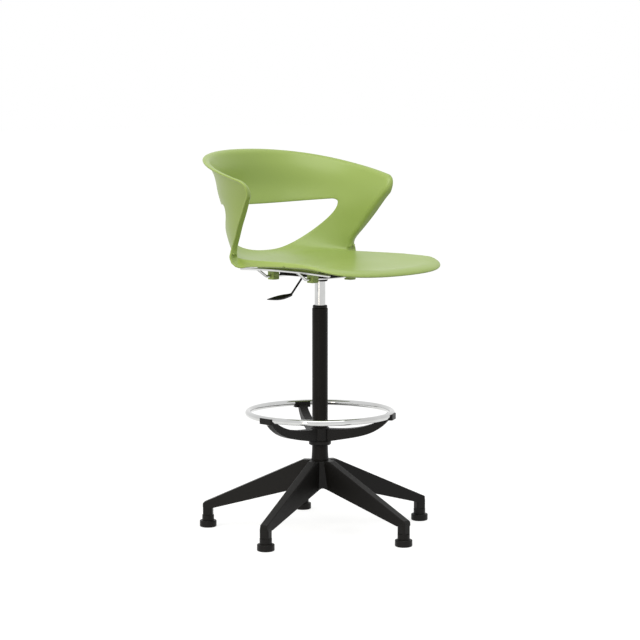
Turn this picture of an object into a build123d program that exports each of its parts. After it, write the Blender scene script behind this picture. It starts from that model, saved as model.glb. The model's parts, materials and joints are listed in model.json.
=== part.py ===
from build123d import *
from build123d.topology import SkipClean
import os
from math import cos, pi, radians, sin

import numpy as np

os.makedirs("parts", exist_ok=True)

# Drafting chair, in millimetres. X runs to the sitter's left, -Y forwards, +Z up.
# The origin is the axis of the column, on the floor. "Fore" is a distance forwards, so Y = -fore.

# --- overall sizes ---
foot_circle = 320        # radius of the circle that the five glides stand on
arm_count = 5
column_top = 634         # top of the guide bush's lip
ring_height = 333        # centre of the foot ring's tube
ring_circle = 200.6      # radius of its centre line
seat_level = 749         # top of the shell on its centre line, over the column
rail_gap = 270           # between the centre lines of the two seat rails
rod_fore = [-110, 45]    # the two cross rods, ahead of the column
wall = 5.7               # seat shell

# --- fits and clearances ---
slide_fit = 0.05         # radial, between sliding or turning rods and their bores
piston_fit = 0.08        # radial, between the piston and its cylinder
end_play = 0.3           # axial, between parts that turn against each other


def turned(points):
    """A solid of revolution from (radius, height) points."""
    profile = make_face(Polyline(*[(r, 0, z) for r, z in points], close=True))
    return revolve(profile, Axis.Z)


def disc(radius, bottom, top, bore=0):
    body = Pos(0, 0, bottom) * extrude(Circle(radius), top - bottom)
    if bore:
        body -= Pos(0, 0, bottom) * extrude(Circle(bore), top - bottom)
    return body


def save(name, *solids):
    piece = solids[0] if len(solids) == 1 else Compound(children=list(solids))
    piece.label = name
    export_step(piece, f"parts/{name}.step")


# --- glides: a plastic foot on a steel pin, with a soft pad under it ---
pad_height = 3
pad_radius = 20
glide_radius = 23.8
glide_height = 19        # top of the wide disc
collar_radius = 16.8
stem_bottom = 34         # the leg's foot stem rests on the glide's collar here
pin_radius = 5.5
pin_length = 34

# --- five-armed star ---
hub_bottom = 127
hub_top = 200
hub_radius = 34
foot_level = 55          # underside of a leg's outer end
tip_top = 70             # top of a leg's outer end
tip_overhang = 13        # the leg runs on past the glide's axis
tip_bevel = 3
tip_round = 5
leg_round = 2
facet_width = (22, 34)   # the sloping web between two legs, at the hub's top and bottom
facet_reach = (32, 55)
slope_start = 47         # where the crown leaves the hub and starts down
flat_start = foot_circle - 14    # where the underside turns level
leg_crown = (25, 23)     # width of the crown at the hub and at the end
leg_skirt = (46, 27)     # width at the bottom
leg_wall = 3.5
leg_roof = 5
rib_places = [95, 150, 205, 255]
stem_width = 27

tip_reach = foot_circle + tip_overhang
sleeve_radius = 24
sleeve_top = 238
flare_start = 203        # above this the sleeve narrows in a curve to the tube
tube_radius = 21.9
tube_wall = 2
tube_bore = tube_radius - tube_wall


def leg_section(x, bottom, top, skirt, crown):
    corners = [(x, -skirt / 2, bottom), (x, skirt / 2, bottom), (x, crown / 2, top), (x, -crown / 2, top)]
    return make_face(Polyline(*corners, close=True))


def leg_line(x, values):
    """A size that changes evenly along the leg, at distance x from the column."""
    share = (x - slope_start) / (tip_reach - slope_start)
    return values[0] + (values[1] - values[0]) * max(0, share)


def leg_top(x):
    return leg_line(x, (hub_top, tip_top))


def leg_bottom(x):
    share = (x - hub_radius) / (flat_start - hub_radius)
    return hub_bottom + (foot_level - hub_bottom) * min(1, max(0, share))


def leg_body(places, inset=0, roof=0, drop=0):
    sections = []
    for x in places:
        skirt = leg_line(x, leg_skirt) - 2 * inset
        crown = leg_line(x, leg_crown) - 2 * inset
        sections.append(leg_section(x, leg_bottom(x) - drop, leg_top(x) - roof, skirt, crown))
    return loft(sections, ruled=True)


def is_crown_edge(edge):
    """One of the long edges along the top of a leg."""
    centre = edge.center()
    along = slope_start < centre.X < tip_reach - 1
    return along and abs(centre.Y) > 5 and centre.Z > leg_top(centre.X) - 1


def star_leg():
    stem = Pos(foot_circle, 0, stem_bottom) * extrude(
        RectangleRounded(stem_width, stem_width, 6), leg_bottom(foot_circle) + 6 - stem_bottom)
    leg = leg_body([20, slope_start, flat_start, tip_reach])
    tip_edge = leg.edges().filter_by(lambda edge: edge.center().X > tip_reach - 1).sort_by(Axis.Z)[-1]
    leg = chamfer(tip_edge, tip_bevel)
    leg = fillet(leg.edges().filter_by(is_crown_edge), leg_round)
    leg = fillet(leg.edges().filter_by(Axis.Z, 20).sort_by(Axis.X)[-2:], tip_round)
    leg += stem
    hollow_end = foot_circle - stem_width / 2 - leg_wall
    hollow = leg_body([hub_radius + 8, slope_start, hollow_end], leg_wall, leg_roof, drop=1)
    for place in rib_places:
        hollow -= Pos(place, 0, 130) * Box(2.5, 60, 260)
    leg -= hollow
    leg -= Pos(foot_circle, 0, 0) * disc(pin_radius, 0, pin_length + 20)
    return leg


def hub_facet():
    heights = (hub_top - 8, hub_bottom)
    return loft([
        Pos(reach / 2, 0, height) * Rectangle(reach, width)
        for reach, width, height in zip(facet_reach, facet_width, heights)], ruled=True)


def base_star():
    hub = disc(hub_radius, hub_bottom, hub_top)
    hub = fillet(hub.edges().group_by(Axis.Z)[-1], 7)
    leg = star_leg()
    star = hub
    for k in range(arm_count):
        turn = 270 + 360 / arm_count * k
        star += Rot(0, 0, turn) * leg
        star += Rot(0, 0, turn + 180 / arm_count) * hub_facet()
    star -= disc(sleeve_radius, 0, hub_top + 20)
    return star


def at_feet(piece):
    step = 360 / arm_count
    return [Rot(0, 0, 270 + step * k) * Pos(foot_circle, 0, 0) * piece for k in range(arm_count)]


def glide_body():
    foot = turned([
        (0, pad_height), (pad_radius, pad_height), (pad_radius, 1.2), (glide_radius - 1, 1.2),
        (glide_radius, 3), (glide_radius, glide_height), (collar_radius, glide_height),
        (collar_radius, stem_bottom), (0, stem_bottom)])
    rim = foot.edges().filter_by(GeomType.CIRCLE).filter_by_position(Axis.Z, glide_height, glide_height)
    foot = fillet(rim.sort_by(SortBy.RADIUS)[-1], 2.5)
    return foot - disc(pin_radius, pin_start, stem_bottom)


pin_start = 12
glide = glide_body()
glide_pin = disc(pin_radius, pin_start, pin_start + pin_length)
glide_pad = disc(pad_radius, 0, pad_height)

save("base_star", base_star())
for number, foot in enumerate(at_feet(glide), 1):
    save(f"glide_{number}", foot)
save("glide_pins", *at_feet(glide_pin))
save("glide_pads", *at_feet(glide_pad))

# --- column: a sleeve in the hub, the stand tube, and the guide bush that the cylinder slides in ---
gas_radius = 15
gas_wall = 1.8
bush_length = 74
lip_radius = 20.3
lip_height = 6
tube_bottom = hub_bottom + 2
tube_top = column_top - lip_height - 3
end_disc_height = 4
rod_radius = 5
rod_neck = 4


def sleeve():
    top = (tube_radius + 0.3, 0, sleeve_top)
    start = (sleeve_radius, 0, flare_start)
    middle = (tube_radius + 0.85, 0, (flare_start + sleeve_top) / 2)
    straight = Polyline(
        top, (tube_radius, 0, sleeve_top), (tube_radius, 0, hub_bottom),
        (sleeve_radius, 0, hub_bottom), start)
    return revolve(make_face(straight + ThreePointArc(start, middle, top)), Axis.Z)


hub_sleeve = sleeve()
column_tube = turned([
    (tube_bore, tube_bottom), (tube_radius, tube_bottom), (tube_radius, tube_top),
    (lip_radius + 0.3, tube_top + 1.5), (tube_bore, tube_top + 1.5)])
guide_bore = gas_radius + slide_fit
guide_bush = turned([
    (guide_bore, column_top - bush_length), (tube_bore, column_top - bush_length),
    (tube_bore, tube_top + 1.5), (tube_bore - 0.4, column_top - lip_height),
    (lip_radius, column_top - lip_height), (lip_radius, column_top - 1.5),
    (lip_radius - 1.5, column_top), (guide_bore + 0.8, column_top), (guide_bore, column_top - 1)])
end_disc_bottom = tube_bottom + 1
tube_end_disc = disc(tube_bore, end_disc_bottom, end_disc_bottom + end_disc_height, rod_neck + slide_fit)

save("hub_sleeve", hub_sleeve)
save("column_tube", column_tube)
save("guide_bush", guide_bush)
save("tube_end_disc", tube_end_disc)

# --- thrust bearing under the piston rod ---
race_radius = 11
race_height = 1.6
ball_radius = 2
ball_circle = 8
ball_count = 9
race_bore = rod_neck + 0.3
lower_race_bottom = end_disc_bottom + end_disc_height
upper_race_bottom = lower_race_bottom + race_height + 2 * ball_radius - 1
upper_race_top = upper_race_bottom + race_height
ball_level = (lower_race_bottom + upper_race_top) / 2


def bearing_race(bottom):
    groove = Pos(0, 0, ball_level) * Torus(ball_circle, ball_radius + 0.02)
    return disc(race_radius, bottom, bottom + race_height, race_bore) - groove


def around(piece, radius, count, start=0):
    return [Rot(0, 0, start + 360 / count * k) * Pos(radius, 0, 0) * piece for k in range(count)]


bearing_balls = around(Pos(0, 0, ball_level) * Sphere(ball_radius), ball_circle, ball_count)
bearing_cage = disc(race_radius - 0.4, ball_level - 0.35, ball_level + 0.35, race_bore + 0.6)
for pocket in around(disc(ball_radius + 0.1, 0, 200), ball_circle, ball_count):
    bearing_cage -= pocket

save("bearing_race_lower", bearing_race(lower_race_bottom))
save("bearing_race_upper", bearing_race(upper_race_bottom))
save("bearing_balls", *bearing_balls)
save("bearing_cage", bearing_cage)

# --- gas spring: the rod stands on the bearing and carries the piston inside the cylinder ---
rod_bottom = hub_bottom - 4
rod_shoulder = upper_race_top + end_play
rod_top = 524
piston_height = 18
washer_height = 1.5
clip_height = 1.2
washer_top = end_disc_bottom - end_play
clip_top = washer_top - washer_height
clip_groove = 1
buffer_length = 22

piston_rod = turned([
    (0, rod_bottom), (rod_neck - 0.5, rod_bottom), (rod_neck, rod_bottom + 0.5),
    (rod_neck, clip_top - clip_height), (rod_neck - clip_groove, clip_top - clip_height),
    (rod_neck - clip_groove, clip_top), (rod_neck, clip_top), (rod_neck, rod_shoulder),
    (rod_radius, rod_shoulder), (rod_radius, rod_top), (0, rod_top)])
rod_washer = disc(race_radius - 1, washer_top - washer_height, washer_top, rod_neck)
rod_clip = disc(rod_neck + 3.2, clip_top - clip_height, clip_top, rod_neck - clip_groove)
rod_clip -= Pos(10, 0, clip_top) * Box(20, 2 * (rod_neck - clip_groove) - 1.5, 10)
stop_buffer = turned([
    (rod_radius, rod_shoulder), (race_radius, rod_shoulder), (race_radius, rod_shoulder + 8),
    (race_radius - 1.5, rod_shoulder + 10), (race_radius, rod_shoulder + 12),
    (race_radius - 1, rod_shoulder + buffer_length), (rod_radius, rod_shoulder + buffer_length)])

gas_bore = gas_radius - gas_wall
piston_radius = gas_bore - piston_fit
ring_groove = 2
piston_bottom = rod_top - piston_height
gas_piston = turned([
    (rod_radius, piston_bottom), (piston_radius - 1, piston_bottom), (piston_radius, piston_bottom + 1),
    (piston_radius, piston_bottom + 7), (piston_radius - ring_groove, piston_bottom + 7),
    (piston_radius - ring_groove, piston_bottom + 11), (piston_radius, piston_bottom + 11),
    (piston_radius, rod_top - 1), (piston_radius - 1, rod_top), (rod_radius, rod_top)])
piston_ring = disc(gas_bore - slide_fit, piston_bottom + 7, piston_bottom + 11, piston_radius - ring_groove)

save("piston_rod", piston_rod)
save("rod_washer", rod_washer)
save("rod_clip", rod_clip)
save("stop_buffer", stop_buffer)
save("gas_piston", gas_piston)
save("piston_ring", piston_ring)

# --- seat plate levels, which the cylinder, socket and lever are set out from ---
rod_size = 8             # rails and cross rods, diameter
cross_level = seat_level - 36
plate_top = cross_level + 15
plate_skin = 3
plate_width = 80
plate_fore = (-124, 58)
skin_bottom = plate_top - plate_skin

gas_length = 398
gas_bottom = plate_top - gas_length
gas_top = plate_top
taper_start = gas_top - 38
taper_tip = 13.6
socket_bottom = cross_level - 12
seal_length = 20
valve_radius = 11.5
button_radius = 4
button_travel = 4
valve_bottom = gas_top - 48


def taper_radius(level):
    share = (level - taper_start) / (gas_top - taper_start)
    return gas_radius + (taper_tip - gas_radius) * min(1, max(0, share))


gas_cylinder = turned([
    (gas_bore, gas_bottom), (gas_radius - 0.8, gas_bottom), (gas_radius, gas_bottom + 0.8),
    (gas_radius, taper_start), (taper_tip, gas_top), (valve_radius, gas_top),
    (valve_radius, valve_bottom + 8), (gas_bore, valve_bottom + 8)])
cylinder_seal = turned([
    (rod_radius + slide_fit, gas_bottom), (gas_bore, gas_bottom), (gas_bore, gas_bottom + seal_length),
    (rod_radius + 3, gas_bottom + seal_length), (rod_radius + slide_fit, gas_bottom + seal_length - 3)])
valve_block = turned([
    (0, valve_bottom), (gas_bore, valve_bottom), (gas_bore, valve_bottom + 8),
    (valve_radius, valve_bottom + 8), (valve_radius, gas_top - 1.5),
    (button_radius + slide_fit, gas_top - 1.5), (button_radius + slide_fit, valve_bottom + 4),
    (0, valve_bottom + 4)])

save("gas_cylinder", gas_cylinder)
save("cylinder_seal", cylinder_seal)
save("valve_block", valve_block)

# --- seat plate: a pressed tray with a tapered socket for the cylinder and ears for the lever ---
lever_pivot = 36         # to the sitter's right of the cylinder's axis
lever_rod_radius = 2.75
lever_rest = plate_top + 7
pin_size = 4
ear_thickness = 2.5
ear_height = 12
ear_gap = 9              # between the ears
socket_rim = (20.5, 25)
plate_length = plate_fore[1] - plate_fore[0]
plate_middle = (plate_fore[0] + plate_fore[1]) / 2


def seat_plate():
    flange_bottom = cross_level
    tray = Pos(0, -plate_middle, flange_bottom) * extrude(
        RectangleRounded(plate_width, plate_length, 8), plate_top - flange_bottom)
    tray = fillet(tray.edges().group_by(Axis.Z)[-1], 2.5)
    tray -= Pos(0, -plate_middle, flange_bottom - 1) * extrude(
        RectangleRounded(plate_width - 5, plate_length - 5, 5.5), skin_bottom - flange_bottom + 1)
    for fore in rod_fore:
        tray -= Pos(0, -fore, cross_level) * Rot(0, 90, 0) * Cylinder(rod_size / 2, 2 * plate_width)
    tray -= disc(taper_radius(skin_bottom), skin_bottom - 1, plate_top + 1)
    for side in (-1, 1):
        ear = Pos(-lever_pivot + 1, side * (ear_gap + ear_thickness) / 2, plate_top + ear_height / 2 - 1)
        ear *= Box(10, ear_thickness, ear_height + 2)
        tray += ear
    return tray - lever_pin_hole()


def lever_pin_hole():
    return Pos(-lever_pivot, 0, lever_rest) * Rot(90, 0, 0) * Cylinder(pin_size / 2, 60)


def plate_socket():
    bore = [(taper_radius(z), z) for z in (socket_bottom, skin_bottom)]
    return turned([
        bore[0], (socket_rim[0], socket_bottom), (socket_rim[1], socket_bottom + 11),
        (socket_rim[1], skin_bottom), bore[1]])


# --- welded frame of round rod: two rails under the shell's sides and two cross rods ---
rail_fore = (-174, 169)
rail_end_level = seat_level - 16.5
rail_middle_level = seat_level - 12
cross_drop_start = 33    # a cross rod leaves the rail and drops over this distance
cross_bend = 14


def rail_level(fore):
    middle = (rail_fore[0] + rail_fore[1]) / 2
    share = (fore - middle) / (rail_fore[1] - middle)
    return rail_middle_level + (rail_end_level - rail_middle_level) * share ** 2


def seat_frame():
    round_rod = Circle(rod_size / 2)
    middle = (rail_fore[0] + rail_fore[1]) / 2
    rail_path = ThreePointArc(
        (0, -rail_fore[0], rail_end_level), (0, -middle, rail_middle_level),
        (0, -rail_fore[1], rail_end_level))
    rail = sweep(Plane(rail_path @ 0, z_dir=rail_path % 0) * round_rod, path=rail_path)
    for end in rail_path @ 0, rail_path @ 1:
        rail += Pos(*end) * Sphere(rod_size / 2)
    frame = Pos(rail_gap / 2, 0, 0) * rail + Pos(-rail_gap / 2, 0, 0) * rail
    for fore in rod_fore:
        outer = rail_gap / 2 - 1
        inner = outer - cross_drop_start
        high = rail_level(fore) - 1
        path = FilletPolyline(
            (outer, -fore, high), (inner, -fore, cross_level), (-inner, -fore, cross_level),
            (-outer, -fore, high), radius=cross_bend)
        frame += sweep(Plane(path @ 0, z_dir=path % 0) * round_rod, path=path)
    return frame


save("seat_plate", seat_plate())
save("plate_socket", plate_socket())
save("seat_frame", seat_frame())

# --- seat shell: one moulding, seat, back and wings, lofted through sections from front to rim ---
# Each row is one section: half width, fore and level of the shell's side edge; fore and level of
# its centre line; degrees of the curve that the half section turns through; squareness of the
# curve; and how far the side edge rolls over outwards.
sections = np.array([
    (246, 312, 750, 310, 752, 50, 2, 10),
    (247, 244, 770, 240, 750, 45, 2, 10),
    (245, 166, 777, 118, 750, 45, 2, 14),
    (242, -28, 771, -112, 753, 51, 2, 17),
    (234, -77, 773, -162, 762, 64, 2, 19),
    (223, -94, 786, -203, 770, 71, 2, 21),
    (225, -76, 815, -246, 803, 82, 2, 12),
    (236, -56, 847, -260, 846, 88, 2, 9),
    (246, -29, 885, -269, 900, 92, 2, 9),
    (257, -6, 919, -279, 960, 96, 2, 8),
    (266, 16, 950, -288, 1017, 100, 2.05, 8),
    (276, 35, 981, -304, 1063, 103, 2.37, 8),
], float)
section_lift = seat_level - 749    # the levels above belong to a seat at 749
sections[:, [2, 4]] += section_lift
roll_reach = 18          # the rolled border is this much wider than it is deep
rim_roll = 4
rim_reach = 24
lip_drop = 18            # how far the seat's front edge turns down
lip_inset = 0.8          # share of the outline where the drop starts
lip_side_relief = 0.55
outline_half_width = 249
outline_start = 110
outline_depth = 204
outline_power = 3.6
wing_corner = 40
waist_level = 800        # below this the surface belongs to the seat


def chord_shares(points):
    steps = np.linalg.norm(np.diff(points, axis=0), axis=1)
    return np.concatenate([[0], np.cumsum(steps)]) / steps.sum()


def smooth_curve(knots, values, at):
    """Natural cubic spline through the values."""
    gaps = np.diff(knots)
    count = len(knots)
    system = np.eye(count)
    bend = np.zeros(count)
    for i in range(1, count - 1):
        system[i, i - 1:i + 2] = gaps[i - 1], 2 * (gaps[i - 1] + gaps[i]), gaps[i]
        bend[i] = 6 * ((values[i + 1] - values[i]) / gaps[i] - (values[i] - values[i - 1]) / gaps[i - 1])
    moments = np.linalg.solve(system, bend)
    j = np.clip(np.searchsorted(knots, at) - 1, 0, count - 2)
    before = (knots[j + 1] - at) / gaps[j]
    after = (at - knots[j]) / gaps[j]
    curve = (before ** 3 - before) * moments[j] + (after ** 3 - after) * moments[j + 1]
    return before * values[j] + after * values[j + 1] + curve * gaps[j] ** 2 / 6


def skin_normals(skin):
    """Unit normals on the side away from the sitter."""
    normal = np.cross(np.gradient(skin, axis=0), np.gradient(skin, axis=1))
    normal /= np.linalg.norm(normal, axis=-1, keepdims=True)
    middle = normal[len(normal) // 6, normal.shape[1] // 2]
    return normal if middle[2] < 0 else -normal


def border_distance(skin, axis):
    steps = np.linalg.norm(np.diff(skin, axis=axis), axis=-1)
    first = np.zeros_like(np.take(steps, [0], axis=axis))
    along = np.concatenate([first, np.cumsum(steps, axis=axis)], axis=axis)
    return along, np.take(along, [-1], axis=axis) - along


def outline_share(x, fore):
    """1 on the seat's rounded front outline, less inside it."""
    side = (np.abs(x) / outline_half_width) ** outline_power
    front = (np.maximum(fore - outline_start, 0) / outline_depth) ** outline_power
    return (side + front) ** (1 / outline_power)


def sitting_skin(rows, columns):
    """Points (X, fore, Z) of the face that is sat on, front to rim and side to side."""
    knots = (chord_shares(sections[:, :3]) + chord_shares(sections[:, 3:5])) / 2
    along = np.linspace(0, 1, rows)
    curves = [smooth_curve(knots, sections[:, k], along)[:, None] for k in range(8)]
    half_width, edge_fore, edge_level, mid_fore, mid_level, sweep_angle, square, roll = curves
    across = np.linspace(-1, 1, columns)[None, :]
    square = np.maximum(square, 2)
    end = np.radians(sweep_angle)
    turn = np.abs(across) * end
    width = (np.abs(np.sin(turn)) / np.sin(end)) ** (2 / square)
    depth = 1 - np.sign(np.cos(turn)) * np.abs(np.cos(turn)) ** (2 / square)
    depth /= 1 - np.sign(np.cos(end)) * np.abs(np.cos(end)) ** (2 / square)
    skin = np.stack([
        np.sign(across) * half_width * width,
        mid_fore + (edge_fore - mid_fore) * depth,
        mid_level + (edge_level - mid_level) * depth], -1)
    left, right = border_distance(skin, 1)
    to_rim = border_distance(skin, 0)[1]
    side_roll = roll * np.clip(1 - np.minimum(left, right) / (roll + roll_reach), 0, 1) ** 2
    top_roll = rim_roll * np.clip(1 - to_rim / rim_reach, 0, 1) ** 2
    x, fore, level = skin[..., 0], skin[..., 1], skin[..., 2]
    drop = lip_drop * (1 - lip_side_relief * (np.abs(x) / outline_half_width) ** 3)
    drop *= np.clip((outline_share(x, fore) - lip_inset) / (1 - lip_inset), 0, 1.15) ** 2
    drop *= np.clip((fore - outline_start) / 120, 0, 1) ** 0.7
    drop[level > waist_level + section_lift] = 0
    skin = skin + skin_normals(skin) * np.maximum(side_roll, top_roll)[..., None]
    skin[..., 2] -= drop
    return skin


fine_rows = 1401
fine_columns = 401
inner_skin = sitting_skin(fine_rows, fine_columns)
outer_skin = inner_skin + skin_normals(inner_skin) * wall
half_columns = [0, 0.010, 0.022, 0.036, 0.054, 0.078, 0.11, 0.15, 0.2, 0.26, 0.32, 0.38, 0.44]
column_places = half_columns + [0.5] + [1 - place for place in reversed(half_columns)]
row_places = list(np.linspace(0, 0.9, 29)) + [0.925, 0.945, 0.96, 0.974, 0.987, 1]


def skin_face(skin):
    wires = []
    for place in row_places:
        row = skin[int(round(place * (fine_rows - 1)))]
        shares = chord_shares(row)
        points = [Vector(*[np.interp(at, shares, row[:, k]) * (-1 if k == 1 else 1) for k in range(3)])
                  for at in column_places]
        wires.append(Wire([Edge.make_spline(points, parameters=column_places)]))
    return Shell.make_loft(wires).faces()[0]


def nearest_edge(face, row, column, skin):
    x, fore, z = skin[row, column]
    target = Vector(x, -fore, z)
    return min(face.edges(), key=lambda edge: (edge.position_at(0.5) - target).length)


def skin_block():
    """The whole moulding before it is trimmed: two skins joined round their borders."""
    faces = [skin_face(inner_skin), skin_face(outer_skin)]
    middle_row, middle_column = fine_rows // 2, fine_columns // 2
    for row, column in ((middle_row, 0), (middle_row, -1), (0, middle_column), (-1, middle_column)):
        inner = nearest_edge(faces[0], row, column, inner_skin)
        outer = nearest_edge(faces[1], row, column, outer_skin)
        faces.append(Face.make_surface_from_curves(inner, outer))
    return Solid(Shell(faces))


# The opening between the seat and the back, as seen from the front
opening_half = 220
opening_bottom = 780
opening_crown = 905      # the upper edge at the centre line
opening_corner = 912     # and at its ends
opening_steps = 9
opening_radius = 7


def opening_tool():
    lower = []
    for k in range(opening_steps):
        share = k / (opening_steps - 1)
        rise = 1 - (1 - share ** 2.3) ** 0.62
        level = opening_bottom + (opening_corner - opening_bottom) * rise + section_lift
        lower.append((opening_half * share, 0, level))
    upper_middle = (0, 0, opening_crown + section_lift)
    right = lower[-1]
    left = (-right[0], 0, right[2])
    curve = Spline(*[(-x, y, z) for x, y, z in reversed(lower[1:])], *lower)
    face = make_face(curve + ThreePointArc(right, upper_middle, left))
    face = fillet(face.vertices(), opening_radius)
    return extrude(face, 400, dir=(0, 1, 0))


def front_trim():
    """What lies outside the seat's rounded front outline."""
    points = []
    for k in range(25):
        turn = pi * k / 24
        x = outline_half_width * np.sign(cos(turn)) * abs(cos(turn)) ** (2 / outline_power)
        fore = outline_start + outline_depth * abs(sin(turn)) ** (2 / outline_power)
        points.append((float(x), float(-fore)))
    kept = make_face(Spline(*points) + Line(points[-1], points[0]))
    margin = 60
    field = Pos(0, -outline_start - (outline_depth + margin) / 2) * Rectangle(
        2 * outline_half_width + 2 * margin, outline_depth + margin)
    return Pos(0, 0, seat_level - 100) * extrude(field - kept, 150)


def wing_corner_trim():
    """What lies outside the rounded corner where the rim meets the wing's front edge."""
    tip = Vector(0, -sections[-1, 1], sections[-1, 2])
    rim = (Vector(0, -sections[-1, 3], sections[-1, 4]) - tip).normalized()
    edge = (Vector(0, -sections[-4, 1], sections[-4, 2]) - tip).normalized()
    tip -= (rim + edge).normalized() * 3
    half_turn = radians(rim.get_angle(edge)) / 2
    run = wing_corner / np.tan(half_turn)
    centre = tip + (rim + edge).normalized() * (wing_corner / sin(half_turn))
    out = (rim + edge).normalized() * -60
    start, finish = tip + rim * run, tip + edge * run
    middle = centre - (rim + edge).normalized() * wing_corner
    outside = Polyline(finish, finish + out, start + out, start)
    face = make_face(ThreePointArc(start, middle, finish) + outside)
    return Pos(-400, 0, 0) * extrude(face, 800, dir=(1, 0, 0))


def skin_level(skin, x, fore):
    """Level of the seat's skin over a point of the floor plan."""
    seat = skin[:fine_rows // 2:4, ::4]
    gap = np.hypot(seat[..., 0] - x, seat[..., 1] - fore)
    return float(seat[..., 2].ravel()[np.argmin(gap)])


# --- moulded fixings under the shell, and the clips that hold it to the cross rods ---
clip_across = 73         # from the centre line
clip_size = 24
clip_depth = 10
clip_screw_offset = 8
clip_screw_radius = 1.5
clip_head_radius = 3
clip_head_depth = 2
rib_thickness = 4
rib_offset = 4.5         # from the rail's centre line, inwards
rib_fore = (-150, 150)
clip_places = [(side * clip_across, fore) for fore in rod_fore for side in (-1, 1)]


def clip_screw_hole(x, fore, side, top, radius):
    return Pos(x, -fore + side * clip_screw_offset, 0) * disc(radius, cross_level - clip_depth - 1, top)


def shell_boss(x, fore):
    reach = clip_size / 2
    corners = [skin_level(inner_skin, x + i * reach, fore + j * reach) for i in (-1, 1) for j in (-1, 1)]
    top = min(corners) - wall / 2
    boss = Pos(x, -fore, cross_level) * extrude(RectangleRounded(clip_size, clip_size, 3), top - cross_level)
    for side in (-1, 1):
        boss -= clip_screw_hole(x, fore, side, top - 4, clip_screw_radius)
    return boss - Pos(x, -fore, cross_level) * Rot(0, 90, 0) * Cylinder(rod_size / 2, 60)


def shell_rib(side):
    """A rib that stands beside a rail and keeps the shell from shifting."""
    x = side * (rail_gap / 2 - rib_offset - rib_thickness)
    bottom = rail_middle_level + 1.5
    fores = np.linspace(rib_fore[0], rib_fore[1], 9)
    crest = [(x, float(-fore), skin_level(inner_skin, x, fore) - wall / 2) for fore in fores]
    first, last = crest[0], crest[-1]
    side_face = make_face(Spline(*crest) + Polyline(last, (x, last[1], bottom), (x, first[1], bottom), first))
    return extrude(side_face, rib_thickness, dir=(side, 0, 0))


def seat_shell():
    shell = skin_block()
    shell -= front_trim()
    shell -= wing_corner_trim()
    shell -= opening_tool()
    for x, fore in clip_places:
        shell += shell_boss(x, fore)
    for side in (-1, 1):
        shell += shell_rib(side)
    return shell


def shell_clip(x, fore):
    bottom = cross_level - clip_depth
    clip = Pos(x, -fore, bottom) * extrude(RectangleRounded(clip_size, clip_size, 3), clip_depth)
    clip = fillet(clip.edges().group_by(Axis.Z)[0], 2)
    clip -= Pos(x, -fore, cross_level) * Rot(0, 90, 0) * Cylinder(rod_size / 2, 60)
    for side in (-1, 1):
        clip -= clip_screw_hole(x, fore, side, cross_level + 1, clip_screw_radius)
        clip -= clip_screw_hole(x, fore, side, bottom + clip_head_depth, clip_head_radius)
    return clip


def clip_screws():
    screws = []
    bottom = cross_level - clip_depth
    for x, fore in clip_places:
        for side in (-1, 1):
            screw = disc(clip_head_radius, bottom, bottom + clip_head_depth)
            screw += disc(clip_screw_radius, bottom + clip_head_depth, cross_level + 20)
            screw -= extrude(Pos(0, 0, bottom) * RegularPolygon(1.6, 6), 1.2)
            screws.append(Pos(x, -fore + side * clip_screw_offset, 0) * screw)
    return screws


save("seat_shell", seat_shell())
for number, (x, fore) in enumerate(clip_places, 1):
    save(f"shell_clip_{number}", shell_clip(x, fore))
save("clip_screws", *clip_screws())

# --- height lever and the valve's button ---
pin_head = 1.6
lever_eye = 5
lever_tongue = 4         # the tongue reaches this far past the cylinder's axis
lever_knee = 62
lever_elbow = 113
knee_level = seat_level - 27
elbow_level = seat_level - 80
paddle_level = seat_level - 82.5
# distance out from the column, drop below the elbow, half width and half height
paddle_sections = [
    (111, -1.4, 4.4, 4.4), (121, 0.6, 6.5, 5), (137, 2.4, 11, 6.2), (154, 4, 13, 6.4),
    (174, 5.2, 11, 4.8), (191, 5.7, 6.5, 2.6), (202, 5.6, 1.8, 1)]



def lever_rod():
    path = FilletPolyline(
        (lever_tongue, 0, lever_rest), (-lever_pivot - 8, 0, lever_rest), (-lever_knee, 0, knee_level),
        (-lever_elbow, 0, elbow_level), (-lever_elbow - 40, 0, paddle_level), radius=12)
    rod = sweep(Plane(path @ 0, z_dir=path % 0) * Circle(lever_rod_radius), path=path)
    eye_width = ear_gap - 2 * end_play
    rod += Pos(-lever_pivot, 0, lever_rest) * Rot(90, 0, 0) * Cylinder(lever_eye, eye_width)
    rod += Pos(lever_tongue, 0, lever_rest) * Sphere(lever_rod_radius)
    return rod - Pos(-lever_pivot, 0, lever_rest) * Rot(90, 0, 0) * Cylinder(pin_size / 2 + slide_fit, 60)


def lever_paddle():
    """A leaf-shaped grip on the rod's end: a collar, a full belly and a thin tip."""
    sections = []
    for out, drop, half_width, half_height in paddle_sections:
        plane = Plane(origin=(-out, 0, elbow_level - drop), x_dir=(0, 1, 0), z_dir=(-1, 0, 0))
        sections.append(plane * Ellipse(half_width, half_height))
    return loft(sections)


def lever_pin():
    half = ear_gap / 2 + ear_thickness + 1.5
    pin = Rot(90, 0, 0) * Cylinder(pin_size / 2, 2 * half)
    pin += Pos(0, half + pin_head / 2, 0) * Rot(90, 0, 0) * Cylinder(pin_size / 2 + 1.2, pin_head)
    return Pos(-lever_pivot, 0, lever_rest) * pin


rod = lever_rod()
button_gap = 0.6         # between the lever's tongue and the button, at rest
button_top = lever_rest - lever_rod_radius - button_gap
release_button = turned([
    (0, valve_bottom + 9), (button_radius, valve_bottom + 9), (button_radius, button_top - 0.8),
    (button_radius - 0.8, button_top), (0, button_top)])
save("lever_rod", rod)
save("lever_paddle", lever_paddle() - rod)
save("lever_pin", lever_pin())
save("release_button", release_button)

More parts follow.
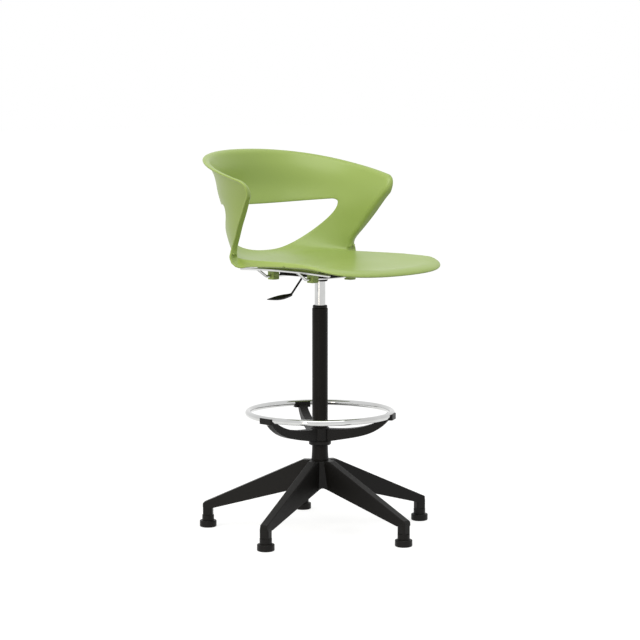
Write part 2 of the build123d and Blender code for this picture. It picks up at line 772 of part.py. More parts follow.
# --- foot ring and the moulded spider that carries it on the column ---
ring_tube_radius = 8.5
ring_wall = 1.5
ledge_radius = 31        # the collar's lower rim
ledge_height = 12
collar_outer = 26
collar_bottom = 243
collar_height = 49
arm_width = 24
arm_angles = (60, 180, 300)
saddle_tangent = 46
saddle_radial = 24
saddle_bottom = ring_height - 12
saddle_top = ring_height + 4
ring_screw_radius = 2.2
ring_screw_head = 4


def spider_arm():
    ring_rise = ring_height - collar_bottom
    upper = [(24, 46), (38, 46), (111, 52.4), (145.5, 62), (ring_circle - 14, ring_rise - 5)]
    lower = [(ring_circle - 2, ring_rise - 11), (158, 43.6), (102.5, 25), (42, 13.6), (24, 10)]
    top_edge = Spline(*[(r, 0, collar_bottom + z) for r, z in upper])
    bottom_edge = Spline(*[(r, 0, collar_bottom + z) for r, z in lower])
    outline = make_face(
        top_edge + Line(top_edge @ 1, bottom_edge @ 0) + bottom_edge + Line(bottom_edge @ 1, top_edge @ 0))
    arm = extrude(outline, arm_width / 2, dir=(0, 1, 0), both=True)
    saddle = Pos(ring_circle, 0, saddle_bottom) * extrude(
        RectangleRounded(saddle_radial, saddle_tangent, 4), saddle_top - saddle_bottom)
    return arm + saddle


def ring_spider():
    collar = turned([
        (tube_radius, collar_bottom), (ledge_radius - 2, collar_bottom), (ledge_radius, collar_bottom + 2),
        (ledge_radius, collar_bottom + ledge_height - 2), (ledge_radius - 2, collar_bottom + ledge_height),
        (collar_outer, collar_bottom + ledge_height), (collar_outer, collar_bottom + collar_height - 2),
        (collar_outer - 2, collar_bottom + collar_height), (tube_radius, collar_bottom + collar_height)])
    spider = collar
    for angle in arm_angles:
        spider += Rot(0, 0, angle) * spider_arm()
    spider -= disc(tube_radius, collar_bottom - 1, collar_bottom + collar_height + 10)
    spider -= Pos(0, 0, ring_height) * Torus(ring_circle, ring_tube_radius)
    for angle in arm_angles:
        spider -= Rot(0, 0, angle) * Pos(ring_circle, 0, 0) * ring_screw()
    spider -= Rot(0, 0, set_screw_angle) * set_screw(0)
    return spider


def foot_ring_tube():
    """Three bent lengths of tube, each drilled for its arm's screw and welded end to end."""
    tube = Circle(ring_tube_radius) - Circle(ring_tube_radius - ring_wall)
    length = revolve(Plane.XZ * (Pos(ring_circle, ring_height) * tube), Axis.Z, 120)
    with SkipClean():
        length -= Rot(0, 0, 60) * Pos(ring_circle, 0, 0) * disc(ring_screw_radius, saddle_bottom, ring_height)
        ring = length + Rot(0, 0, 120) * length + Rot(0, 0, 240) * length
    return ring.solids()[0]


set_screw_angle = 120
set_screw_radius = 3


def set_screw(socket=1.5):
    reach = collar_outer - 1.5 - tube_radius
    screw = Cylinder(set_screw_radius, reach)
    if socket:
        screw -= Pos(0, 0, reach / 2 - 2) * extrude(RegularPolygon(socket, 6), 3)
    return Pos(tube_radius + reach / 2, 0, collar_bottom + collar_height / 2 + 10) * Rot(0, 90, 0) * screw


def ring_screw():
    screw = disc(ring_screw_radius, saddle_bottom - 1, ring_height - ring_tube_radius + ring_wall + 2)
    head = disc(ring_screw_head, saddle_bottom - 3, saddle_bottom)
    return screw + head


ring_screws = [Rot(0, 0, angle) * Pos(ring_circle, 0, 0) * ring_screw() for angle in arm_angles]
foot_ring = foot_ring_tube()
save("ring_spider", ring_spider())
save("foot_ring", foot_ring)
save("ring_screws", *ring_screws)
save("ring_set_screw", Rot(0, 0, set_screw_angle) * set_screw())
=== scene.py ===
import json
import math

import bpy
import numpy as np
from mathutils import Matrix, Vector


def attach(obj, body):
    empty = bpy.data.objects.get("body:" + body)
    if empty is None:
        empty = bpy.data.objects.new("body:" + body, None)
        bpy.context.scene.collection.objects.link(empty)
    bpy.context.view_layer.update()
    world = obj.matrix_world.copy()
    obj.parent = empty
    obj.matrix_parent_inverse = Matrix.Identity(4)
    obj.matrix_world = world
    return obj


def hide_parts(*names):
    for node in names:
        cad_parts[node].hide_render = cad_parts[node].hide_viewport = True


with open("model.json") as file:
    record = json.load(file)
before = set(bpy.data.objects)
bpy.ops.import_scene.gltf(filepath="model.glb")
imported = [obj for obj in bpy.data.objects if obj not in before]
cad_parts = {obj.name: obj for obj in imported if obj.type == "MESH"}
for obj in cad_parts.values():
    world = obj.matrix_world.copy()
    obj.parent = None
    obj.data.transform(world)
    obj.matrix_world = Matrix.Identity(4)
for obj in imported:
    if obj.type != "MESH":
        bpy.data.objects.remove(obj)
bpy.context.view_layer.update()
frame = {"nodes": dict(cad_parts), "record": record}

nodes = frame["nodes"]
bpy.ops.object.select_all(action="DESELECT")
print("frame loaded,", len(nodes), "parts")

studio = {
    "cameraDistance": 6.25865,  # metres, along the floor
    "cameraHeight": 1.25512,
    "cameraTilt": 6.048,        # degrees down
    "lens": 127.44,
    "sensorWidth": 36,
    "ambient": 0.64,            # what the white room adds from all round
    "floorColour": (0.38, 0.38, 0.377, 1),
    "floorPatch": (0.41, 0.41, 0.406, 1),
    "patchScale": 0.8,
    "floorGlow": 0.78,
    "floorSize": 80,
}
# name, place, target, width and height, watts, colour, and whether it shows in reflections
softboxes = [
    ("overheadLight", (-0.6, -0.9, 3.2), (0, 0, 0.8), (2.4, 2.4), 42, (1, 1, 1), True),
    ("leftLight", (-3.2, 0.2, 1.6), (0, 0, 0.75), (1.2, 2.2), 38, (1, 0.94, 0.8), False),
    ("tallLight", (-4.6, -1.9, 0.8), (0, 0, 0.6), (0.5, 2.0), 14, (1, 0.9, 0.75), True),
]


def aim(item, place, target):
    item.location = place
    item.rotation_euler = (Vector(target) - Vector(place)).to_track_quat("-Z", "Y").to_euler()


def addCamera():
    reach = studio["cameraDistance"] / math.sqrt(2)
    place = (-reach, -reach, studio["cameraHeight"])
    drop = math.tan(math.radians(studio["cameraTilt"])) * studio["cameraDistance"]
    bpy.ops.object.camera_add()
    camera = bpy.context.object
    camera.name = "camera"
    camera.data.lens = studio["lens"]
    camera.data.sensor_width = studio["sensorWidth"]
    aim(camera, place, (0, 0, studio["cameraHeight"] - drop))
    bpy.context.scene.camera = camera


def addSoftbox(name, place, target, size, watts, shade, inReflections):
    bpy.ops.object.light_add(type="AREA")
    lamp = bpy.context.object
    lamp.name = name
    lamp.data.shape = "RECTANGLE"
    lamp.data.size = size[0]
    lamp.data.size_y = size[1]
    lamp.data.energy = watts
    lamp.data.color = shade
    lamp.visible_glossy = inReflections
    aim(lamp, place, target)


class Signal:
    # a socket that takes part in sums
    def __init__(self, finish, socket):
        self.finish = finish
        self.socket = socket

    def math(self, operation, first, second):
        return self.finish.node("ShaderNodeMath", {"operation": operation}, {0: first, 1: second})

    def __add__(self, other):
        return self.math("ADD", self, other)

    def __radd__(self, other):
        return self.math("ADD", other, self)

    def __sub__(self, other):
        return self.math("SUBTRACT", self, other)

    def __rsub__(self, other):
        return self.math("SUBTRACT", other, self)

    def __mul__(self, other):
        return self.math("MULTIPLY", self, other)

    def __rmul__(self, other):
        return self.math("MULTIPLY", other, self)

    def over(self, other):
        return self.math("MAXIMUM", self, other)


class Finish:
    # one material, and the ways to wire it
    def __init__(self, name, tree=None):
        if tree is None:
            self.material = bpy.data.materials.new(name)
            self.material.use_nodes = True
            tree = self.material.node_tree
        self.tree = tree
        tree.nodes.clear()

    def node(self, kind, settings=None, inputs=None, output=0):
        made = self.tree.nodes.new(kind)
        for key, value in (settings or {}).items():
            if key == "stops":
                self.setStops(made.color_ramp, value)
            else:
                setattr(made, key, value)
        for key, value in (inputs or {}).items():
            if isinstance(value, Signal):
                self.tree.links.new(value.socket, made.inputs[key])
            else:
                made.inputs[key].default_value = value
        return Signal(self, made.outputs[output]) if len(made.outputs) else made

    def setStops(self, ramp, stops):
        while len(ramp.elements) < len(stops):
            ramp.elements.new(0.5)
        for element, (place, shade) in zip(ramp.elements, stops):
            element.position = place
            element.color = (shade, shade, shade, 1)

    def place(self, stretch):
        spot = self.node("ShaderNodeTexCoord", output="Object")
        return self.node("ShaderNodeMapping", {}, {"Vector": spot, "Scale": stretch})

    def noise(self, scale, detail=2, stretch=(1, 1, 1)):
        return self.node("ShaderNodeTexNoise", {}, {
            "Vector": self.place(stretch), "Scale": scale, "Detail": detail})

    def ramp(self, signal, *stops):
        return self.node("ShaderNodeValToRGB", {"stops": stops}, {"Fac": signal})

    def tint(self, share, first, second):
        sockets = {0: share, 6: first, 7: second}       # 6 and 7 are the two colours
        return self.node("ShaderNodeMix", {"data_type": "RGBA"}, sockets, output=2)

    def bump(self, height, depth, under=None):
        inputs = {"Height": height, "Distance": depth}
        if under is not None:
            inputs["Normal"] = under
        return self.node("ShaderNodeBump", {}, inputs)

    def directSight(self):
        # 1 for what is seen directly, in a reflection or through glass, and 0 for light on a surface
        camera = self.node("ShaderNodeLightPath", output="Is Camera Ray")
        glossy = self.node("ShaderNodeLightPath", output="Is Glossy Ray")
        through = self.node("ShaderNodeLightPath", output="Is Transmission Ray")
        return camera.over(glossy).over(through)

    def surface(self, sockets):
        shader = self.node("ShaderNodeBsdfPrincipled", {}, sockets)
        self.node("ShaderNodeOutputMaterial", {}, {"Surface": shader})
        return self.material


def colour(red, green, blue):
    return (red, green, blue, 1)


# in every finish the scales are waves per metre, and the depths are in metres
shellLook = {
    "deep": colour(0.288, 0.392, 0.087),
    "light": colour(0.322, 0.424, 0.110),
    "shadeScale": 4,
    "roughness": 0.35,
    "specular": 0.45,
    "flowScale": 22,
    "flowGloss": 0.06,          # how much the flow marks change the roughness
    "scuffScale": 60,
    "scuffGloss": 0.05,
    "grainScale": 950,
    "grainDepth": 0.00003,
    "pebbleScale": 260,
    "pebbleDepth": 0.00006,
}


def mouldedShell():
    look = Finish("satinGreenPlastic")
    broad = look.noise(shellLook["shadeScale"], detail=3)
    flow = look.noise(shellLook["flowScale"], detail=4, stretch=(1, 0.35, 1))
    grain = look.noise(shellLook["grainScale"])
    pebble = look.noise(shellLook["pebbleScale"])
    streak = look.noise(shellLook["scuffScale"], detail=5, stretch=(1, 0.12, 1))
    scuff = look.ramp(streak, (0.58, 0), (0.72, 1))
    wear = shellLook["flowGloss"] * (flow - 0.5) + shellLook["scuffGloss"] * scuff
    relief = look.bump(pebble, shellLook["pebbleDepth"])
    return look.surface({
        "Base Color": look.tint(broad, shellLook["deep"], shellLook["light"]),
        "Roughness": shellLook["roughness"] + wear,
        "Specular IOR Level": shellLook["specular"],
        "Normal": look.bump(grain, shellLook["grainDepth"], relief)})


blackLook = {
    "specular": 0.17,
    "paler": 1.9,               # how much paler the dusty patches are, as a factor
    "palerStill": 0.003,        # and as an amount
    "patchScale": 9,
    "patchGloss": 0.1,
    "dustScale": 140,
    "dustGloss": 0.12,
    "grainScale": 1200,
    "grainDepth": 0.00005,
    "sinkScale": 38,
    "sinkDepth": 0.00012,
}


def mouldedBlack(name, base, roughness):
    look = Finish(name)
    broad = look.noise(blackLook["patchScale"], detail=3)
    grain = look.noise(blackLook["grainScale"])
    sink = look.noise(blackLook["sinkScale"])
    dust = look.ramp(look.noise(blackLook["dustScale"], detail=6), (0.56, 0), (0.8, 1))
    lighter = colour(*(blackLook["paler"] * part + blackLook["palerStill"] for part in base[:3]))
    wear = blackLook["patchGloss"] * (broad - 0.5) + blackLook["dustGloss"] * dust
    relief = look.bump(sink, blackLook["sinkDepth"])
    return look.surface({
        "Base Color": look.tint(0.35 * broad + 0.25 * dust, base, lighter),
        "Specular IOR Level": blackLook["specular"],
        "Roughness": roughness + wear,
        "Normal": look.bump(grain, blackLook["grainDepth"], relief)})


coatLook = {
    "deep": colour(0.0085, 0.0077, 0.007),
    "rubbed": colour(0.019, 0.0168, 0.015),
    "roughness": 0.3,
    "specular": 0.09,
    "peelScale": 420,
    "peelDepth": 0.00003,
    "waveScale": 60,
    "waveDepth": 0.00006,
    "rubScale": 35,
}


def powderCoat():
    look = Finish("blackPowderCoat")
    peel = look.noise(coatLook["peelScale"])
    wave = look.noise(coatLook["waveScale"])
    streak = look.noise(coatLook["rubScale"], detail=6, stretch=(1, 1, 0.25))
    rub = look.ramp(streak, (0.6, 0), (0.75, 1))
    relief = look.bump(wave, coatLook["waveDepth"])
    return look.surface({
        "Base Color": look.tint(0.4 * wave + 0.3 * rub, coatLook["deep"], coatLook["rubbed"]),
        "Specular IOR Level": coatLook["specular"],
        "Roughness": coatLook["roughness"] + 0.1 * wave + 0.1 * rub,
        "Normal": look.bump(peel, coatLook["peelDepth"], relief)})


chromeLook = {
    "clean": colour(0.60, 0.605, 0.60),
    "smudged": colour(0.55, 0.55, 0.54),
    "roughness": 0.05,
    "smudgeScale": 28,
    "smudgeGloss": 0.07,
    "hairlineScale": 900,
    "hairlineGloss": 0.03,
    "rippleScale": 24,
    "rippleDepth": 0.00006,
}


def chromePlate():
    look = Finish("chromePlate")
    smudge = look.ramp(look.noise(chromeLook["smudgeScale"], detail=6), (0.45, 0), (0.75, 1))
    hairline = look.noise(chromeLook["hairlineScale"], stretch=(1, 1, 0.08))
    ripple = look.noise(chromeLook["rippleScale"], detail=1)
    wear = chromeLook["smudgeGloss"] * smudge + chromeLook["hairlineGloss"] * hairline
    return look.surface({
        "Base Color": look.tint(smudge, chromeLook["clean"], chromeLook["smudged"]),
        "Metallic": 1.0,
        "Roughness": chromeLook["roughness"] + wear,
        "Normal": look.bump(ripple, chromeLook["rippleDepth"])})


zincLook = {
    "dull": colour(0.42, 0.42, 0.41),
    "bright": colour(0.56, 0.55, 0.52),
    "roughness": 0.26,
    "cloudScale": 160,
    "cloudGloss": 0.16,
    "scratchScale": 500,
    "scratchGloss": 0.06,
    "scratchDepth": 0.00003,
}


def zincSteel():
    look = Finish("zincSteel")
    cloud = look.noise(zincLook["cloudScale"], detail=5)
    scratch = look.noise(zincLook["scratchScale"], detail=3, stretch=(1, 1, 0.1))
    wear = zincLook["cloudGloss"] * cloud + zincLook["scratchGloss"] * scratch
    return look.surface({
        "Base Color": look.tint(cloud, zincLook["dull"], zincLook["bright"]),
        "Metallic": 1.0,
        "Roughness": zincLook["roughness"] + wear,
        "Normal": look.bump(scratch, zincLook["scratchDepth"])})


def addFloor():
    bpy.ops.mesh.primitive_plane_add(size=studio["floorSize"])
    floor = bpy.context.object
    floor.name = "floor"
    look = Finish("paleFloor")
    mist = look.noise(studio["patchScale"])
    pale = look.tint(mist, studio["floorColour"], studio["floorPatch"])
    matt = look.node("ShaderNodeBsdfDiffuse", {}, {"Color": pale})
    strength = studio["floorGlow"] * look.directSight()
    glow = look.node("ShaderNodeEmission", {}, {"Strength": strength})
    both = look.node("ShaderNodeAddShader", {}, {0: matt, 1: glow})
    look.node("ShaderNodeOutputMaterial", {}, {"Surface": both})
    floor.data.materials.append(look.material)


def lightRoom():
    world = bpy.data.worlds.new("whiteRoom")
    bpy.context.scene.world = world
    world.use_nodes = True
    look = Finish("room", world.node_tree)
    strength = studio["ambient"] + (1 - studio["ambient"]) * look.directSight()
    room = look.node("ShaderNodeBackground", {}, {"Color": colour(1, 1, 1), "Strength": strength})
    look.node("ShaderNodeOutputWorld", {}, {"Surface": room})
    for softbox in softboxes:
        addSoftbox(*softbox)


# Lengths of the shell are in millimetres and turned to metres at the end. Each row is one section of
# the moulding, front to rim: half width, fore and level of the side edge, fore and level of the centre,
# the angle that half the section turns through, its squareness, then how the side border is turned
# outwards: degrees, radius and flat, and how far the section runs on past its edge to feed the turn.
shell = {
    "sections": [
        (246, 312.7, 756.6, 314.2, 757, 50, 2, 27.9, 16, 1.7, 0),
        (247.3, 244, 770.2, 240.8, 747.6, 45, 2, 42.8, 14, 1.3, 2),
        (241.6, 173.9, 774.3, 118, 749.9, 45, 2, 61.8, 13, 4, 4),
        (239.3, -20.6, 773.1, -112, 753, 51, 2, 79, 13, 9, 10),
        (230.6, -72.4, 772.8, -162, 762, 64, 2, 86, 12, 10, 14),
        (222.2, -92.9, 779.3, -203, 770, 71, 2, 90, 12, 10, 16),
        (224.4, -76.1, 818.1, -246, 803, 82, 2, 96, 12, 11, 19),
        (231.4, -57.1, 853.8, -260, 846, 88, 2, 100, 13, 12, 23),
        (240.8, -32.5, 892.4, -269, 900, 92, 2, 102, 13, 12, 23),
        (251.8, -9.4, 929.1, -287.2, 954.9, 96, 2, 102, 13, 11, 22),
        (264.5, 13.2, 960, -289.6, 1012.9, 100, 2.05, 98, 13, 9, 19),
        (278.8, 39.5, 987.9, -300.5, 1071.1, 103, 2.37, 90, 13, 6, 14)],
    "rimTurn": (80, 17, 1),     # degrees, radius and flat of the turn along the rim
    "holeTurn": (20, 20, 0),    # the same along the opening
    "wall": 5.7,
    "edgeRound": 2.4,           # radius of the edges of the wall
    "edgeSteps": 4,
    "lipDrop": 19.6,            # how far the front edge rolls down
    "lipInset": 0.79,           # where the roll starts, as a share of the way to the edge
    "lipLimit": 1.15,           # where past the edge the roll stops growing
    "lipFade": 120,             # length over which the roll fades out along the sides
    "lipFadePower": 0.7,
    "lipSidePower": 2.17,
    "lipSideRelief": 0.7,       # how much less it rolls down at the sides
    "frontHalfWidth": 253.1,
    "frontStart": 105,
    "frontDepth": 197.7,
    "frontPower": 3.38,
    "waist": 800,               # level between the seat and the back
    "wingRadius": 45.6,
    "wingAngle": 64.6,          # degrees between the rim and the wing's front edge
    "holeHalf": 217.8,
    "holeBottom": 777.4,
    "holeTop": (903.8, 916.8),  # at the middle and at the ends
    "holeCorner": 8.8,
    "holePower": 2.3,           # fullness of its lower curve
    "holeRise": 0.62,
    "holeMargin": 40,           # how far below it the surface is still looked at
    "rows": 200,
    "columns": 190,
    "borderCell": 0.36,         # cells at the borders, as a share of those in the middle
    "rimBorder": 0.05,          # share of the rows that has small cells
    "sideBorder": 0.09,         # and of the columns, from each side
    "borderBlend": 0.05,
}
# the fine table of points that the mesh is read from
fine = {
    "rows": 1401,
    "columns": 801,
    "start": -0.012,            # a little before the first section
    "overrun": 1.2,             # and past the side edges
    "farInside": -500,          # where a trimming curve plays no part
    "snapBand": 0.03,           # a point this little outside a trimming curve counts as inside
    "halvings": 24,             # steps that close in on the curve
}
millimetre = 0.001


def chordShares(points):
    steps = np.linalg.norm(np.diff(points, axis=0), axis=1)
    return np.concatenate([[0], np.cumsum(steps)]) / steps.sum()


def smoothCurve(knots, values, at):
    # natural cubic through the values
    gaps = np.diff(knots)
    count = len(knots)
    system = np.eye(count)
    bend = np.zeros(count)
    for i in range(1, count - 1):
        system[i, i - 1:i + 2] = gaps[i - 1], 2 * (gaps[i - 1] + gaps[i]), gaps[i]
        bend[i] = 6 * ((values[i + 1] - values[i]) / gaps[i] - (values[i] - values[i - 1]) / gaps[i - 1])
    moments = np.linalg.solve(system, bend)
    j = np.clip(np.searchsorted(knots, at) - 1, 0, count - 2)
    before = (knots[j + 1] - at) / gaps[j]
    after = (at - knots[j]) / gaps[j]
    curve = (before ** 3 - before) * moments[j] + (after ** 3 - after) * moments[j + 1]
    return before * values[j] + after * values[j + 1] + curve * gaps[j] ** 2 / 6


def unit(vectors):
    return vectors / np.maximum(np.linalg.norm(vectors, axis=-1, keepdims=True), 1e-12)


def outwardNormals(skin):
    # away from the sitter
    normal = unit(np.cross(np.gradient(skin, axis=0), np.gradient(skin, axis=1)))
    middle = normal[len(normal) // 6, normal.shape[1] // 2]     # on the seat, so it points down
    return normal if middle[2] < 0 else -normal


def borderDistance(skin, axis):
    steps = np.linalg.norm(np.diff(skin, axis=axis), axis=-1)
    first = np.zeros_like(np.take(steps, [0], axis=axis))
    along = np.concatenate([first, np.cumsum(steps, axis=axis)], axis=axis)
    return along, np.take(along, [-1], axis=axis) - along


def frontShare(x, fore):
    # 1 on the seat's rounded front outline, less inside it
    power = shell["frontPower"]
    side = (np.abs(x) / shell["frontHalfWidth"]) ** power
    front = (np.maximum(fore - shell["frontStart"], 0) / shell["frontDepth"]) ** power
    return (side + front) ** (1 / power)


def sectionCurves():
    rows = np.array(shell["sections"], float)
    knots = (chordShares(rows[:, :3]) + chordShares(rows[:, 3:5])) / 2
    along = np.linspace(fine["start"], 1, fine["rows"])
    return [smoothCurve(knots, rows[:, k], along)[:, None] for k in range(rows.shape[1])]


def plainSkin(curves):
    # points (x, fore, level) of the face that is sat on, with its borders not yet turned
    halfWidth, edgeFore, edgeLevel, midFore, midLevel, sweepAngle, square = curves[:7]
    across = np.linspace(-fine["overrun"], fine["overrun"], fine["columns"])[None, :]
    square = np.maximum(square, 2)
    end = np.radians(sweepAngle)
    turn = np.abs(across) * end
    width = (np.abs(np.sin(turn)) / np.sin(end)) ** (2 / square)
    depth = 1 - np.sign(np.cos(turn)) * np.abs(np.cos(turn)) ** (2 / square)
    depth /= 1 - np.sign(np.cos(end)) * np.abs(np.cos(end)) ** (2 / square)
    skin = np.stack([
        np.sign(across) * halfWidth * width,
        midFore + (edgeFore - midFore) * depth,
        midLevel + (edgeLevel - midLevel) * depth], -1)
    along = borderDistance(skin, 1)[0]
    first = np.array([np.interp(-1, across[0], row) for row in along])
    last = np.array([np.interp(1, across[0], row) for row in along])
    feed = curves[10][:, 0]
    skin = evenAcross(skin, along, first - feed, last + feed)
    x, fore, level = skin[..., 0], skin[..., 1], skin[..., 2]
    side = np.minimum(np.abs(x) / shell["frontHalfWidth"], 1)
    drop = shell["lipDrop"] * (1 - shell["lipSideRelief"] * side ** shell["lipSidePower"])
    roll = (frontShare(x, fore) - shell["lipInset"]) / (1 - shell["lipInset"])
    drop *= np.clip(roll, 0, shell["lipLimit"]) ** 2
    fade = (fore - shell["frontStart"]) / shell["lipFade"]
    drop *= np.clip(fade, 0, 1) ** shell["lipFadePower"]
    drop[level > shell["waist"]] = 0
    skin[..., 2] -= drop
    return skin


def evenAcross(skin, along, first, last):
    # the same skin with each row's points evenly spaced from first to last along it
    share = np.linspace(0, 1, fine["columns"])
    even = np.empty_like(skin)
    for r in range(len(skin)):
        want = first[r] + (last[r] - first[r]) * share
        for k in range(3):
            even[r, :, k] = np.interp(want, along[r], skin[r, :, k])
    return even


def surfaceSlope(value, skin):
    # steepness of a measure along the surface, and the direction in which it grows
    byRow, byColumn = np.gradient(value)
    alongRow = np.gradient(skin, axis=0)
    alongColumn = np.gradient(skin, axis=1)
    e = (alongRow ** 2).sum(-1)
    f = (alongRow * alongColumn).sum(-1)
    g = (alongColumn ** 2).sum(-1)
    area = e * g - f ** 2
    rowPart = (byRow * g - byColumn * f) / area
    columnPart = (byColumn * e - byRow * f) / area
    slope = rowPart[..., None] * alongRow + columnPart[..., None] * alongColumn
    return np.maximum(np.linalg.norm(slope, axis=-1), 1e-3), unit(slope)


def surfaceDistance(value, skin):
    # turns a signed measure that is 0 on a curve into distance along the surface
    return value / surfaceSlope(value, skin)[0]


def outsideFront(skin):
    share = frontShare(skin[..., 0], skin[..., 1])
    away = surfaceDistance((share - 1) * shell["frontDepth"], skin)
    seat = (skin[..., 1] > shell["frontStart"]) & (skin[..., 2] < shell["waist"])
    return np.where(seat, away, fine["farInside"])


def outsideWing(toRim, toSide):
    radius = shell["wingRadius"]
    angle = math.radians(shell["wingAngle"])
    fromRim = radius - toRim
    fromSide = radius - toSide
    reach = fromRim ** 2 + fromSide ** 2 + 2 * fromRim * fromSide * math.cos(angle)
    away = np.sqrt(np.maximum(reach, 0)) / math.sin(angle) - radius
    near = (fromRim + fromSide * math.cos(angle) > 0) & (fromSide + fromRim * math.cos(angle) > 0)
    near &= (fromRim > -radius) & (fromSide > -radius)
    return np.where(near, away, fine["farInside"])


def outsideHole(skin):
    x, fore, level = skin[..., 0], skin[..., 1], skin[..., 2]
    bottom, corner = shell["holeBottom"], shell["holeCorner"]
    middle, ends = shell["holeTop"]
    power, root = shell["holePower"], shell["holeRise"]
    across = np.abs(x) / shell["holeHalf"]
    left = np.maximum(1 - (level - bottom) / (ends - bottom), 0)
    lower = across ** power + left ** (1 / root) - 1
    slope = np.hypot(
        power * across ** (power - 1) / shell["holeHalf"],
        left ** (1 / root - 1) / root / (ends - bottom))
    below = lower / np.maximum(slope, 1e-4)
    above = level - (middle + (ends - middle) * across ** 2)
    both = np.hypot(np.maximum(corner + below, 0), np.maximum(corner + above, 0))
    hole = np.minimum(-corner, np.maximum(below, above)) + both
    away = surfaceDistance(-hole, skin)
    return np.where((fore < 0) & (level > bottom - shell["holeMargin"]), away, fine["farInside"])


def pick(table, row, column):
    # values between the points of a fine table
    r = np.clip(np.floor(row).astype(int), 0, table.shape[0] - 2)
    c = np.clip(np.floor(column).astype(int), 0, table.shape[1] - 2)
    u = row - r
    v = column - c
    if table.ndim == 3:
        u = u[..., None]
        v = v[..., None]
    low = table[r, c] * (1 - v) + table[r, c + 1] * v
    high = table[r + 1, c] * (1 - v) + table[r + 1, c + 1] * v
    return low * (1 - u) + high * u


def turnBorder(skin, inside, degrees, radius, flat):
    # bends the strip beside a border outwards round a radius, then runs on flat
    angle = np.radians(degrees)
    travel = radius * angle + flat - inside
    bend = np.clip(travel / radius, 0, angle)
    rest = np.maximum(travel - radius * angle, 0)
    ahead = radius * np.sin(bend) + rest * np.cos(angle)
    aside = radius * (1 - np.cos(bend)) + rest * np.sin(angle)
    towards = -surfaceSlope(inside, skin)[1]
    move = towards * (ahead - travel)[..., None] + outwardNormals(skin) * aside[..., None]
    return skin + np.where((travel > 0)[..., None], move, 0)


def gradedPlaces(count, start, border):
    # 0 to 1, with smaller cells at the far end, and at the near one where start is true
    middle = np.linspace(-1 if start else 0, 1, count)
    near = np.clip((np.abs(middle) - (1 - border)) / shell["borderBlend"], 0, 1)
    size = 1 - (1 - shell["borderCell"]) * near
    steps = (size[1:] + size[:-1]) / 2
    places = np.concatenate([[0], np.cumsum(steps)])
    return places / places[-1]


def snapToEdges(places, away):
    # moves the lattice points beside a trimming curve onto it; each point's state is then
    # 1 outside, 0 on the curve and -1 inside
    count = places.shape[:2]
    value = pick(away, places[..., 0], places[..., 1])
    outside = value > fine["snapBand"]
    best = np.full(count, np.inf)
    target = places.copy()
    for axis in (0, 1):
        first = np.take(places, range(count[axis] - 1), axis=axis)
        second = np.take(places, range(1, count[axis]), axis=axis)
        firstOut = np.take(outside, range(count[axis] - 1), axis=axis)
        secondOut = np.take(outside, range(1, count[axis]), axis=axis)
        crossing = np.argwhere(firstOut != secondOut)
        a = first[tuple(crossing.T)]
        b = second[tuple(crossing.T)]
        aOut = firstOut[tuple(crossing.T)]
        low = np.zeros(len(a))
        high = np.ones(len(a))
        for _ in range(fine["halvings"]):
            half = (low + high) / 2
            spot = a + (b - a) * half[:, None]
            sameAsA = (pick(away, spot[:, 0], spot[:, 1]) > 0) == aOut
            low = np.where(sameAsA, half, low)
            high = np.where(sameAsA, high, half)
        share = (low + high) / 2
        spot = a + (b - a) * share[:, None]
        for k, cell in enumerate(crossing):
            mine = cell.copy()
            move = share[k]
            if share[k] > 0.5:
                mine[axis] += 1
                move = 1 - share[k]
            i, j = mine
            if move < best[i, j]:
                best[i, j] = move
                target[i, j] = spot[k]
    state = np.where(best < np.inf, 0, np.where(outside, 1, -1))
    return target, state


def keptFaces(state, places, away):
    # squares and corner triangles that lie inside the trimming curves
    rows, columns = state.shape
    index = np.arange(rows * columns).reshape(rows, columns)
    faces = []
    for i in range(rows - 1):
        for j in range(columns - 1):
            ring = [(i, j), (i, j + 1), (i + 1, j + 1), (i + 1, j)]
            marks = [state[c] for c in ring]
            kept = [c for c, mark in zip(ring, marks) if mark < 1]
            if len(kept) < 3:
                continue
            if -1 not in marks or len(kept) == 3:       # may lie just outside, so its middle is tried
                middle = np.mean([places[c] for c in kept], axis=0)
                if pick(away, middle[:1], middle[1:])[0] > 0:
                    continue
            faces.append([int(index[c]) for c in kept])
    return faces


def borderLoops(faces):
    # directed edges that belong to one face only, in a fixed order
    once = {}
    for face in faces:
        for k, start in enumerate(face):
            end = face[(k + 1) % len(face)]
            if (end, start) in once:
                del once[end, start]
            else:
                once[start, end] = True
    return list(once)


